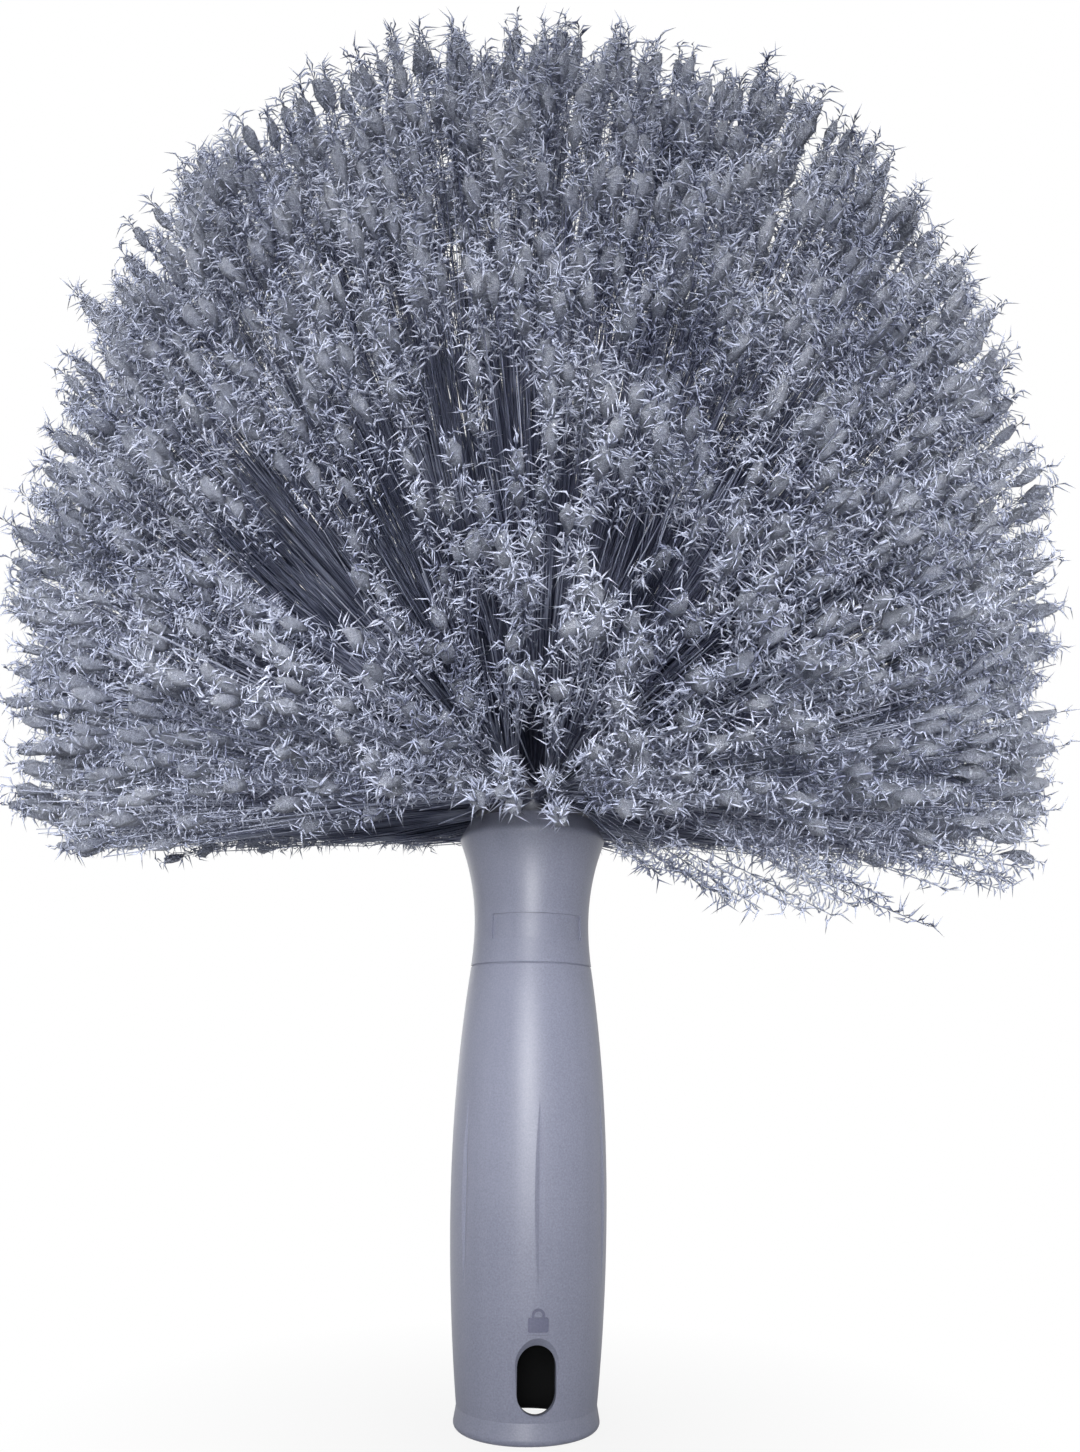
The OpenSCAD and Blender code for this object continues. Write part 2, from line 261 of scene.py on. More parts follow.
def painted_shade_blotches(tree):
    """Slow blotches of painted light and shade over the head, in place of the shade in the valleys
    between clumps.
    """
    place = tree.node("ShaderNodeTexCoord", out="Object")
    slow = tree.node("ShaderNodeTexNoise", {}, {"Vector": place, "Scale": 50.0, "Detail": 2.0})
    return (slow - 0.5) * 1.7


def bristle_filament():
    """Filament: pale at the split tip, and dark at the root, where the darkening is painted shade for
    the shade deep among the bristles.
    """
    made, tree, shader = material("bristle_filament")
    place = tree.node("ShaderNodeUVMap", {"uv_map": BRISTLE_MAP})
    split = tree.node("ShaderNodeSeparateXYZ", {}, [place])
    across, along = split, tree.value(tree.last, 1) * 2.0
    strip = tree.node("ShaderNodeMapping", {}, {"Vector": place, "Scale": (STRANDS_WIDE, 5.0, 1.0)})
    flat, line = {"noise_dimensions": "2D"}, {"noise_dimensions": "1D"}
    grain = tree.node("ShaderNodeTexNoise", flat, {"Vector": strip, "Scale": 1.0})
    lock = tree.node("ShaderNodeTexNoise", line, {"W": across * 23.0, "Scale": 1.0})
    # The ramp's dark root end is painted shade; its pale tip end is the split ends' own tone.
    tone = tree.node(
        "ShaderNodeValToRGB",
        {
            "stops": [
                (0.00, linear(52, 57, 75)),
                (0.40, linear(108, 113, 135)),
                (0.58, linear(150, 156, 177)),
                (1.00, linear(178, 183, 201)),
            ]
        },
        # The slow blotches added here are painted light and shade.
        [(along + (grain - 0.5) * 0.5 + (lock - 0.5) * 0.25 + painted_shade_blotches(tree)).clamped()],
    )
    feed(tree, shader, "Base Color", tone)
    feed(tree, shader, "Roughness", 0.82 - along * 0.12)
    shader.inputs["Specular IOR Level"].default_value = 0.15
    return made


def split_tip_fuzz():
    """The mass of fine split ends in a lock: pale specks over a blue grey."""
    made, tree, shader = material("split_tip_fuzz")
    place = tree.node("ShaderNodeUVMap", {"uv_map": BRISTLE_MAP})
    tree.node("ShaderNodeSeparateXYZ", {}, [place])
    along = tree.value(tree.last, 1) * 2.0 - 1.0
    laid = tree.node("ShaderNodeMapping", {}, {"Vector": place, "Scale": (420.0, 90.0, 1.0)})
    curls = tree.node(
        "ShaderNodeTexNoise",
        {"noise_dimensions": "2D"},
        {"Vector": laid, "Scale": 1.0, "Detail": 2.0, "Roughness": 0.65, "Distortion": 1.6},
    )
    wisps = tree.node("ShaderNodeTexNoise", {"noise_dimensions": "2D"}, {"Vector": laid, "Scale": 0.23})
    height = (0.5 + (curls - 0.5) * 3.4 + (wisps - 0.5) * 0.9).clamped()
    tone = tree.node(
        "ShaderNodeValToRGB",
        {
            "stops": [
                (0.00, linear(112, 118, 140)),
                (0.40, linear(166, 172, 194)),
                (0.70, linear(202, 208, 226)),
                (1.00, linear(228, 232, 245)),
            ]
        },
        # The slow blotches added here are painted light and shade.
        [(height * 0.8 + along * 0.28 + painted_shade_blotches(tree) * 0.6).clamped()],
    )
    feed(tree, shader, "Base Color", tone)
    feed(tree, shader, "Roughness", 0.78 - height * 0.2)
    bump = tree.node("ShaderNodeBump", {}, {"Strength": 0.9, "Distance": 0.0012, "Height": height})
    feed(tree, shader, "Normal", bump)
    shader.inputs["Specular IOR Level"].default_value = 0.3
    return made


plastic = handle_plastic("handle_plastic", (108, 111, 128), (131, 134, 151))
# The padlock sign's darker plastic is painted shade, standing for the shade of a recessed mark.
sign_plastic = handle_plastic("sign_plastic", (84, 86, 106), (102, 104, 126))
dark_plastic = block_plastic()
steel = zinc_steel()
filament = bristle_filament()
fuzz = split_tip_fuzz()

SOLID_FINISHES = {
    "grip": plastic,
    "collar": plastic,
    "tuft_block": dark_plastic,
    "clamp_screw": steel,
    "screw_washer": steel,
    "tuft_anchors": steel,
}
for name, finish in SOLID_FINISHES.items():
    nodes[name].data.materials.clear()
    nodes[name].data.materials.append(finish)


# Mesh building


def mesh_piece(name, points, faces, finish, smooth=True):
    """A piece from plain points and faces, on the part's one body."""
    mesh = bpy.data.meshes.new(name)
    mesh.from_pydata([tuple(p) for p in points], [], faces)
    mesh.polygons.foreach_set("use_smooth", [smooth] * len(mesh.polygons))
    mesh.materials.append(finish)
    mesh.validate()
    made = bpy.data.objects.new(name, mesh)
    bpy.context.scene.collection.objects.link(made)
    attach(made, "root")


# Bristle head


def reach(tilt):
    """From the ball's middle to the tips, at so many degrees from straight up."""
    tilt = np.asarray(tilt, float)
    crown = SIDE_REACH + CROWN_EXTRA * np.maximum(np.cos(np.radians(tilt)), 0) ** CROWN_POWER
    return np.where(tilt < 90, crown, SIDE_REACH - SKIRT_TRIM * (tilt - 90))


def lowered(turn):
    """Degrees by which the skirt hangs lower at a turn. The front is at -90."""
    front = -math.sin(math.radians(turn))
    return SKIRT_LEAN * front - SKIRT_LIFT * front * front


def direction(tilt, turn):
    """The way that a tilt and a turn point."""
    tilt, turn = math.radians(tilt), math.radians(turn)
    return np.array(
        [math.sin(tilt) * math.cos(turn), math.sin(tilt) * math.sin(turn), math.cos(tilt)]
    )


def tilt_of(way):
    """Degrees from straight up to a way."""
    return math.degrees(math.acos(max(-1.0, min(1.0, way[2]))))


def unit(vector):
    """A vector made 1 long."""
    return vector / np.linalg.norm(vector)


def swung(way, aside, angle):
    """A direction swung by some degrees towards any way across it."""
    across = unit(np.cross(way, [0.31, 0.87, 0.39]))
    other = np.cross(way, across)
    side = across * math.cos(aside) + other * math.sin(aside)
    return unit(way * math.cos(math.radians(angle)) + side * math.sin(math.radians(angle)))


# Where along a strand its points are, and how it bends, sways and leans.
SPINE_STEPS = np.array([0.0, 0.2, 0.45, 0.7, 0.87, 1.0])
ROOT_REACH = BALL_RADIUS * 0.9
BEND_POWER = 0.7
SWAY_ANGLE = 2.6
LEAN_FROM = 0.5
LEAN_POWER = 1.6


def spine(root_way, tip_way, length, rng, sway, pull=0.0):
    """Points from a hole in the ball out to a strand's tip, bending from one way to the other.
    Its outer half leans by a pull, in metres at the tip."""
    bend = SPINE_STEPS**BEND_POWER
    wave = rng.normal(0, sway, 3)
    points = []
    for step, share in zip(SPINE_STEPS, bend):
        way = unit(root_way * (1 - share) + tip_way * share)
        far = ROOT_REACH + (length - ROOT_REACH) * step
        leant = max(0.0, (step - LEAN_FROM) / LEAN_FROM) ** LEAN_POWER * pull
        points.append(BALL_MIDDLE + way * far + wave * math.sin(step * SWAY_ANGLE) * step + leant)
    return points


# Slow waves over the head, by which neighbouring tips draw together in clumps and stand
# a little longer or shorter.
# CLUMP is how far one wave draws a tip, and UNEVEN the share by which it changes its length.
waves = np.random.default_rng(7)
WAVE_COUNT = 14
SHORTEST_WAVE, LONGEST_WAVE = 14 * MM, 36 * MM
WAVE_LINES = np.array([unit(waves.normal(0, 1, 3)) for _ in range(WAVE_COUNT)])
WAVE_LINES *= (2 * math.pi / waves.uniform(SHORTEST_WAVE, LONGEST_WAVE, WAVE_COUNT))[:, None]
WAVE_STARTS = waves.uniform(0, 2 * math.pi, WAVE_COUNT)
WAVE_PULLS = np.array([unit(waves.normal(0, 1, 3)) for _ in range(WAVE_COUNT)])
CLUMP = 2.6 * MM
UNEVEN = 0.005


def drawn(way, length):
    """Where the clumps draw a tip, and how much of its length it has among them."""
    heights = np.sin(WAVE_LINES @ (way * length) + WAVE_STARTS)
    pull = heights @ WAVE_PULLS * CLUMP
    return pull - way * float(pull @ way), 1 + UNEVEN * float(heights.sum())


class Guides:
    """The strands' paths, as edges that the bristle tree follows. A path's lead is 0 for a bare
    shaft, 1 for a full lock and 2 for a stray bristle with hairs alone."""

    def __init__(self):
        self.points, self.edges, self.lead, self.lock = [], [], [], []

    def add(self, points, lead, lock):
        first = len(self.points)
        self.points += points
        self.edges += [(first + i, first + i + 1) for i in range(len(points) - 1)]
        self.lead += [lead] * len(points)
        self.lock += [lock] * len(points)

    def object(self, name):
        mesh = bpy.data.meshes.new(name)
        mesh.from_pydata([tuple(p) for p in self.points], self.edges, [])
        for key, values in {"lead": self.lead, "lock": self.lock}.items():
            mesh.attributes.new(key, "FLOAT", "POINT").data.foreach_set("value", values)
        made = bpy.data.objects.new(name, mesh)
        bpy.context.scene.collection.objects.link(made)
        return made


def group_input(tree, name, kind, value=None):
    """Adds an input to a tree, and gives its identifier."""
    socket = tree.interface.new_socket(name, in_out="INPUT", socket_type=kind)
    if value is not None:
        socket.default_value = value
    return socket.identifier


# Points along a shaft, a hair and a plume, and the sides that they are swept with.
SHAFT_POINTS, HAIR_POINTS, PLUME_POINTS = 4, 3, 4
THIN_SIDES, PLUME_SIDES = 3, 5
# A whole turn, in radians.
WHOLE_TURN = 6.283
# Corners nearer than this are one.
POINTED = 2e-6


def bristle_tree():
    """Sweeps each path to a shaft, and splits the leading shafts' ends into curling hairs."""
    group = bpy.data.node_groups.new("bristles", "GeometryNodeTree")
    names = {
        "paths": group_input(group, "Paths", "NodeSocketGeometry"),
        "shaft": group_input(group, "Shaft Radius", "NodeSocketFloat", 0.22 * MM),
        "hair": group_input(group, "Hair Radius", "NodeSocketFloat", 0.25 * MM),
        "length": group_input(group, "Hair Length", "NodeSocketFloat", 3.0 * MM),
        "count": group_input(group, "Hairs per Lock", "NodeSocketInt", 48),
        "start": group_input(group, "Split from", "NodeSocketFloat", 0.7),
        "spread": group_input(group, "Spread", "NodeSocketFloat", 1.15),
        "curl": group_input(group, "Curl", "NodeSocketFloat", 1.15),
        "plume": group_input(group, "Plume Radius", "NodeSocketFloat", 1.75 * MM),
        "plume_from": group_input(group, "Plume from", "NodeSocketFloat", 0.8),
        "root_tone": group_input(group, "Root Tone", "NodeSocketFloat", 0.0),
        "lumps": group_input(group, "Lumps", "NodeSocketFloat", 2.4 * MM),
        "seed": group_input(group, "Seed", "NodeSocketInt", 1),
        "finish": group_input(group, "Finish", "NodeSocketMaterial"),
        "fuzz": group_input(group, "Fuzz", "NodeSocketMaterial"),
    }
    group.interface.new_socket("Bristles", in_out="OUTPUT", socket_type="NodeSocketGeometry")
    tree = Tree(group)
    tree.node("NodeGroupInput")
    source = tree.last

    def given(name):
        return tree.value(source, name)

    def stored(geometry, name, value, domain="POINT"):
        return tree.node(
            "GeometryNodeStoreNamedAttribute",
            {"data_type": "FLOAT", "domain": domain},
            {"Geometry": geometry, "Name": name, "Value": value},
        )

    def random(low, high, seed):
        return tree.node(
            "FunctionNodeRandomValue",
            {"data_type": "FLOAT"},
            {"Min": low, "Max": high, "Seed": given("Seed") + seed},
        )

    def named(name):
        return tree.node("GeometryNodeInputNamedAttribute", {"data_type": "FLOAT"}, {"Name": name})

    def resampled(curve, count):
        inputs = {"Curve": curve, "Count": count}
        return tree.node("GeometryNodeResampleCurve", {"mode": "COUNT"}, inputs)

    def knocked(geometry, scale, detail, amount):
        """Pushes points aside by a noise in space, at most by about half the amount."""
        place = tree.node("GeometryNodeInputPosition")
        inputs = {"Vector": place, "Scale": scale, "Detail": detail}
        noise = tree.node("ShaderNodeTexNoise", {}, inputs, "Color")
        push = tree.scaled(tree.vector("SUBTRACT", noise, (0.5, 0.5, 0.5)), amount)
        return tree.node("GeometryNodeSetPosition", {}, {"Geometry": geometry, "Offset": push})

    def swept(curve, sides):
        # The profile knows which side a point is on. A swept curve's scale is its radius.
        circle = {"Resolution": sides, "Radius": 1.0}
        profile = tree.node("GeometryNodeCurvePrimitiveCircle", {}, circle)
        profile = stored(profile, "side", tree.node("GeometryNodeInputIndex") / float(sides))
        return tree.node(
            "GeometryNodeCurveToMesh",
            {},
            {
                "Curve": curve,
                "Profile Curve": profile,
                "Scale": named("thick"),
                "Fill Caps": True,
            },
        )

    step = tree.node("GeometryNodeSplineParameter", out="Factor")
    curves = tree.node("GeometryNodeMeshToCurve", {}, {"Mesh": given("Paths")})
    shafts = resampled(curves, SHAFT_POINTS)
    # A shaft's tone runs up the ramp from its root; a raised start is painted light on the shafts.
    shafts = stored(shafts, "along", given("Root Tone") + step * 0.45)
    shafts = stored(shafts, "thick", given("Shaft Radius") * (1.0 - step * 0.45))
    shafts = stored(shafts, "strand", random(0.0, 1.0, 11), "CURVE")
    shafts = swept(shafts, THIN_SIDES)

    leading = tree.node(
        "GeometryNodeSeparateGeometry",
        {"domain": "CURVE"},
        {"Geometry": curves, "Selection": named("lead") > 0.5},
    )
    leading = stored(leading, "reached", step)
    outer = tree.node(
        "GeometryNodeTrimCurve",
        {"mode": "FACTOR"},
        {"Curve": leading, "Start": given("Split from"), "End": 1.0},
    )
    buds = tree.node(
        "GeometryNodeCurveToPoints",
        {"mode": "COUNT"},
        {"Curve": outer, "Count": given("Hairs per Lock")},
        "Points",
    )
    tangent = tree.value(tree.last, "Tangent")
    # Hairs lean outwards at the side of a lock and point ahead at its end.
    aside = tree.node(
        "FunctionNodeRandomValue",
        {"data_type": "FLOAT_VECTOR"},
        {"Min": (-1.0, -1.0, -1.0), "Max": (1.0, 1.0, 1.0), "Seed": given("Seed") + 3},
    )
    lean = tree.scaled(aside, given("Spread"))
    ahead = tree.vector("NORMALIZE", tree.vector("ADD", tangent, lean))
    turned = tree.node("FunctionNodeAlignRotationToVector", {"axis": "Z"}, {"Vector": ahead})
    spun = tree.node(
        "FunctionNodeAxisAngleToRotation",
        {},
        {"Axis": (0.0, 0.0, 1.0), "Angle": random(0.0, WHOLE_TURN, 5)},
    )
    turned = tree.node("FunctionNodeRotateRotation", {"rotation_space": "LOCAL"}, [turned, spun])
    # One hair has three points and curls to one side.
    hair = tree.node(
        "GeometryNodeCurvePrimitiveLine",
        {"mode": "POINTS"},
        {"Start": (0.0, 0.0, 0.0), "End": (0.0, 0.0, 1.0)},
    )
    hair = resampled(hair, HAIR_POINTS)
    bent = tree.node(
        "ShaderNodeCombineXYZ",
        {},
        {"X": step**2.0 * given("Curl"), "Y": 0.0, "Z": step**3.0 * given("Curl") * -0.45},
    )
    hair = tree.node("GeometryNodeSetPosition", {}, {"Geometry": hair, "Offset": bent})
    size = given("Hair Length") * random(0.55, 1.35, 7)
    hairs = tree.node(
        "GeometryNodeInstanceOnPoints",
        {},
        {"Points": buds, "Instance": hair, "Rotation": turned, "Scale": size},
    )
    hairs = stored(hairs, "strand", random(0.0, 1.0, 9), "INSTANCE")
    hairs = tree.node("GeometryNodeRealizeInstances", {}, {"Geometry": hairs})
    # Each hair also takes a small wander of its own.
    hairs = knocked(hairs, 420.0, 0.0, step * given("Hair Length") * 0.9)
    hairs = stored(hairs, "along", 0.5 + step * 0.48)
    # A hair starts and ends in a point, where a ring becomes one corner.
    hairs = stored(hairs, "thick", given("Hair Radius") * step * (1.0 - step) * 4.0)
    hairs = swept(hairs, THIN_SIDES)
    hairs = tree.node("GeometryNodeMergeByDistance", {}, {"Geometry": hairs, "Distance": POINTED})
    strands = tree.node("GeometryNodeJoinGeometry", {}, {"Geometry": (shafts, hairs)})
    strands = tree.node(
        "GeometryNodeSetMaterial", {}, {"Geometry": strands, "Material": given("Finish")}
    )

    # Under the hairs a lock's end is a lumpy plume. A stray bristle, with a lead of 2, has none.
    full = tree.node(
        "GeometryNodeSeparateGeometry",
        {"domain": "CURVE"},
        {"Geometry": leading, "Selection": (1.5 - named("lead")) > 0.0},
    )
    plumes = tree.node(
        "GeometryNodeTrimCurve",
        {"mode": "FACTOR"},
        {"Curve": full, "Start": given("Plume from"), "End": 0.985},
    )
    plumes = resampled(plumes, PLUME_POINTS)
    bulge = (step * 1.04 + 0.03) ** 0.6 * (1.03 - step) ** 0.35 * 1.5
    plumes = stored(plumes, "along", 1.0 + step)
    plumes = stored(plumes, "thick", given("Plume Radius") * bulge)
    plumes = stored(plumes, "strand", random(0.0, 1.0, 13), "CURVE")
    plumes = knocked(swept(plumes, PLUME_SIDES), 330.0, 1.0, given("Lumps"))
    plumes = tree.node(
        "GeometryNodeSetMaterial", {}, {"Geometry": plumes, "Material": given("Fuzz")}
    )

    both = tree.node("GeometryNodeJoinGeometry", {}, {"Geometry": (strands, plumes)})
    fibre = tree.node(
        "ShaderNodeCombineXYZ",
        {},
        {"X": named("lock") * 0.8 + named("strand") * 0.2, "Y": named("along"), "Z": named("side")},
    )
    both = tree.node(
        "GeometryNodeStoreNamedAttribute",
        {"data_type": "FLOAT_VECTOR", "domain": "POINT"},
        {"Geometry": both, "Name": "fibre", "Value": fibre},
    )
    both = tree.node("GeometryNodeRealizeInstances", {}, {"Geometry": both})
    tree.node("NodeGroupOutput", {}, {"Bristles": both})
    return group, names


BRISTLES, BRISTLE_INPUTS = bristle_tree()


FIBRE_KEYS = {"fibre", "lock", "lead", "along", "side", "strand", "thick", "reached"}


def map_fibres(mesh):
    """Lays each strand and each plume in a strip of the map, root below and tip above."""
    fibre = np.zeros(len(mesh.vertices) * 3, np.float32)
    mesh.attributes["fibre"].data.foreach_get("vector", fibre)
    fibre = fibre.reshape(-1, 3)
    corners = np.zeros(len(mesh.loops), np.int32)
    mesh.loops.foreach_get("vertex_index", corners)
    wide = np.where(fibre[:, 1] < 1, STRANDS_WIDE, FUZZ_WIDE)
    strip = np.floor(fibre[:, 0] * 0.999 * wide) + 0.1 + fibre[:, 2] * 0.8
    across = strip / wide
    up = 0.005 + 0.495 * np.clip(fibre[:, 1], 0, 2)
    layer = mesh.uv_layers.new(name=BRISTLE_MAP)
    layer.data.foreach_set("uv", np.stack([across, up], 1)[corners].ravel())
    for attribute in [a.name for a in mesh.attributes if a.name in FIBRE_KEYS]:
        mesh.attributes.remove(mesh.attributes[attribute])


def bristle_piece(name, guides, cad_node, **sizes):
    """Grows bristles along the guides and makes them one plain mesh."""
    paths = guides.object(name + "_paths")
    grown = paths.modifiers.new("bristles", "NODES")
    grown.node_group = BRISTLES
    sizes["finish"], sizes["fuzz"] = filament, fuzz
    for key, value in sizes.items():
        grown[BRISTLE_INPUTS[key]] = value
    ready = paths.evaluated_get(bpy.context.evaluated_depsgraph_get())
    mesh = bpy.data.meshes.new_from_object(ready)
    paths.modifiers.remove(grown)
    bpy.data.objects.remove(paths)
    mesh.name = name
    map_fibres(mesh)
    mesh.polygons.foreach_set("use_smooth", [True] * len(mesh.polygons))
    made = bpy.data.objects.new(name, mesh)
    bpy.context.scene.collection.objects.link(made)
    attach(made, "root")
    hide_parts(cad_node)


# Per node: its rings, side shafts a lock, hairs a lock, where the ends split and the plumes start.
HEAD = {
    "crown": {"rings": [0, 1], "shafts": 0, "hairs": 60, "split": 0.89, "plume_from": 0.952},
    "upper": {"rings": [2], "shafts": 0, "hairs": 60, "split": 0.88, "plume_from": 0.946},
    "shoulder": {"rings": [3], "shafts": 1, "hairs": 60, "split": 0.86, "plume_from": 0.936},
    "side": {"rings": [4], "shafts": 1, "hairs": 58, "split": 0.83, "plume_from": 0.926},
    "skirt": {"rings": [5], "shafts": 4, "hairs": 66, "split": 0.66, "plume_from": 0.92},
}
LOCKS = 4450
# Each node's locks make this many pieces.
SECTORS = 3
# Tilt of the skirt's edge, and by how much it is less at the right and more at the left.
LOWEST = 95.8
SKIRT_TURN = 1.8
# Painted light: how far up the tone ramp the skirt's shafts start, so that the underside of the head
# reads as lit.
SKIRT_PAINTED_LIGHT = 0.28
# How tips scatter: the step between neighbours in turn, and degrees and metres aside.
GOLDEN_ANGLE = 137.50776
TIP_SCATTER = 0.7
TIP_WANDER = 3.0 * MM
# How far a lock's root follows its tip within the tuft's hole.
ROOT_SPREAD = 0.42
# A lock's length as a share of the reach: the longest, how far the rest fall short and how rarely.
LONGEST = 0.99
FALL_SHORT = 0.2
FALL_SHORT_POWER = 3.2
MOST_UNEVEN = 1.03
TUFT_UNEVEN = 0.008
LOCK_SWAY = 1.2 * MM
SIDE_SWAY = 1.5 * MM
SIDE_SPLAY = 2.0
STRAY_SWAY = 5 * MM
STRAY_SIDE_SWAY = 4 * MM
STRAY_SPLAY = 1.2

# Places where locks stand apart: tilt, turn, half width in degrees and how far locks fall short.
# A gap's rim and its bare middle are shares of its half width.
GAP_RIM = 1.25
GAP_BARE = 0.85
FLUFFY_FROM = 0.93
GAPS = [
    (75, -123, 6.6, 0.34), (77, -116.5, 6.8, 0.36), (79.5, -111, 5.6, 0.32), (70, -104, 4.4, 0.30),
    (58, -129, 4.6, 0.28), (81, -87, 5.4, 0.34), (90, -108, 4.0, 0.30), (76, -97, 3.4, 0.24),
    (76, -141, 4.6, 0.24), (55, -102, 2.6, 0.15), (70, -81, 2.6, 0.15),
    (60, 20, 4.5, 0.2), (75, 52, 5.0, 0.3), (84, 96, 5.5, 0.35), (66, 130, 4.5, 0.25),
    (80, 165, 4.5, 0.25), (88, 10, 4.0, 0.25),
]
# Tips of bristles bent out of the skirt: turn, how far out and how high, in millimetres.
STRAYS = [
    (-72, 96, 113), (-67, 107, 109), (-64, 112, 106), (-61, 110, 110), (-57, 114, 112),
    (-51, 118, 112), (-46, 121, 115), (-75, 82, 119), (-40, 124, 118), (-158, 116, 121),
]


def in_gaps(way, fluff):
    """Share of its length that a lock keeps, and its lead, which is 0 where it is bare."""
    kept, lead = 1.0, 1.0
    for tilt, turn, half, loss in GAPS:
        apart = math.degrees(math.acos(min(1.0, float(np.dot(way, direction(tilt, turn))))))
        kept = min(kept, 1 - loss * max(0.0, 1 - (apart / (half * GAP_RIM)) ** 2))
        if apart < half * GAP_BARE:
            lead = float(fluff > FLUFFY_FROM)
    return kept, lead


def tufts():
    """Each tuft: its ring, its hole's way, the way its middle points and how tall it is."""
    rng = np.random.default_rng(11)
    made = []
    for ring, (tilt, count) in enumerate(zip(RING_ANGLES, RING_TUFTS)):
        for tuft in range(count):
            turn = (tuft + RING_SHIFT * ring) * 360 / count
            root = direction(ROOT_SHARE * tilt, turn)
            made.append((ring, turn, root, direction(tilt, turn), 1 + rng.normal(0, TUFT_UNEVEN)))
    return made


def even_tips(count):
    """Tips spread evenly over the head from the crown to the skirt's edge, as tilts and turns."""
    tilts = np.linspace(0, LOWEST, 2000)
    area = np.cumsum(reach(tilts) ** 2 * np.sin(np.radians(tilts)))
    share = (np.arange(count) + 0.5) / count
    return np.interp(share, area / area[-1], tilts), np.arange(count) * GOLDEN_ANGLE % 360


def any_way(rng):
    return rng.uniform(0, 2 * math.pi)


def grow_lock(guides, plan, root, way, tall, rng):
    """One lock, with the bare shafts beside it."""
    length = float(reach(tilt_of(way))) * tall
    length *= LONGEST - FALL_SHORT * rng.random() ** FALL_SHORT_POWER
    pull, uneven = drawn(way, length)
    kept, lead = in_gaps(way, rng.random())
    length *= kept * min(uneven, MOST_UNEVEN)
    pull = pull + swung(way, any_way(rng), 90) * abs(rng.normal(0, TIP_WANDER))
    shade = float(rng.random())
    guides.add(spine(root, way, length, rng, LOCK_SWAY, pull), lead, shade)
    for _ in range(plan["shafts"]):
        near = swung(way, any_way(rng), abs(rng.normal(0, SIDE_SPLAY)))
        side_length = length * rng.uniform(0.8, 0.99)
        guides.add(spine(root, near, side_length, rng, SIDE_SWAY), 0.0, shade)


def grow_stray(guides, turn, out, height, rng):
    """A few bristles of the skirt, bent out to one place."""
    angle = math.radians(turn)
    tip = np.array([out * math.cos(angle), out * math.sin(angle), height])
    away = tip - BALL_MIDDLE
    root = direction(ROOT_SHARE * RING_ANGLES[-1], turn)
    way = unit(away)
    length = float(np.linalg.norm(away)) * rng.uniform(0.96, 1.0)
    guides.add(spine(root, way, length, rng, STRAY_SWAY), 2.0, float(rng.random()))
    for _ in range(2):
        near = swung(way, any_way(rng), abs(rng.normal(0, STRAY_SPLAY)))
        side_length = length * rng.uniform(0.9, 1.02)
        guides.add(spine(root, near, side_length, rng, STRAY_SIDE_SWAY), 2.0, 0.5)


def sector(guides, turn):
    """The guides of the piece that a turn falls in."""
    return guides[int(turn % 360 * SECTORS / 360)]


def grow_head():
    """Spreads the locks over the head, each from its nearest tuft's hole, and grows them."""
    rng = np.random.default_rng(41)
    stood = tufts()
    middles = np.array([middle for _, _, _, middle, _ in stood])
    owner = {ring: name for name, plan in HEAD.items() for ring in plan["rings"]}
    grown = {name: [Guides() for _ in range(SECTORS)] for name in HEAD}
    for tilt, turn in zip(*even_tips(LOCKS)):
        flat = swung(direction(tilt, turn), any_way(rng), abs(rng.normal(0, TIP_SCATTER)))
        ring, at, root_middle, middle, tall = stood[int(np.argmax(middles @ flat))]
        root = unit(root_middle + ROOT_SPREAD * (flat - middle))
        turn = math.degrees(math.atan2(flat[1], flat[0]))
        tilt = tilt_of(flat)
        hang = lowered(turn) * tilt / RING_ANGLES[-1]
        hang -= SKIRT_TURN * math.cos(math.radians(turn)) * (tilt / LOWEST) ** 6
        way = direction(tilt + hang, turn)
        name = owner[ring]
        grow_lock(sector(grown[name], at), HEAD[name], root, way, tall, rng)
    for turn, out, height in STRAYS:
        grow_stray(sector(grown["skirt"], turn), turn, out * MM, height * MM, rng)
    for number, (name, plan) in enumerate(HEAD.items()):
        for place, guides in enumerate(grown[name]):
            bristle_piece(
                f"{name}_bristles_{place + 1}",
                guides,
                f"{name}_tufts",
                count=plan["hairs"],
                start=plan["split"],
                plume_from=plan["plume_from"],
                root_tone=SKIRT_PAINTED_LIGHT if name == "skirt" else 0.0,
                seed=number * 10 + place,
            )


grow_head()


# Ball


# Half the width of a hole and the width of its edge, in degrees of the ball, and its depth.
HOLE_HALF = 6.6
HOLE_EDGE = 1.5
HOLE_DEPTH = 1.3 * MM
# Tilt at which the ball ends in the block.
BALL_END = 152.0
BALL_ROWS, BALL_TURNS = 60, 96


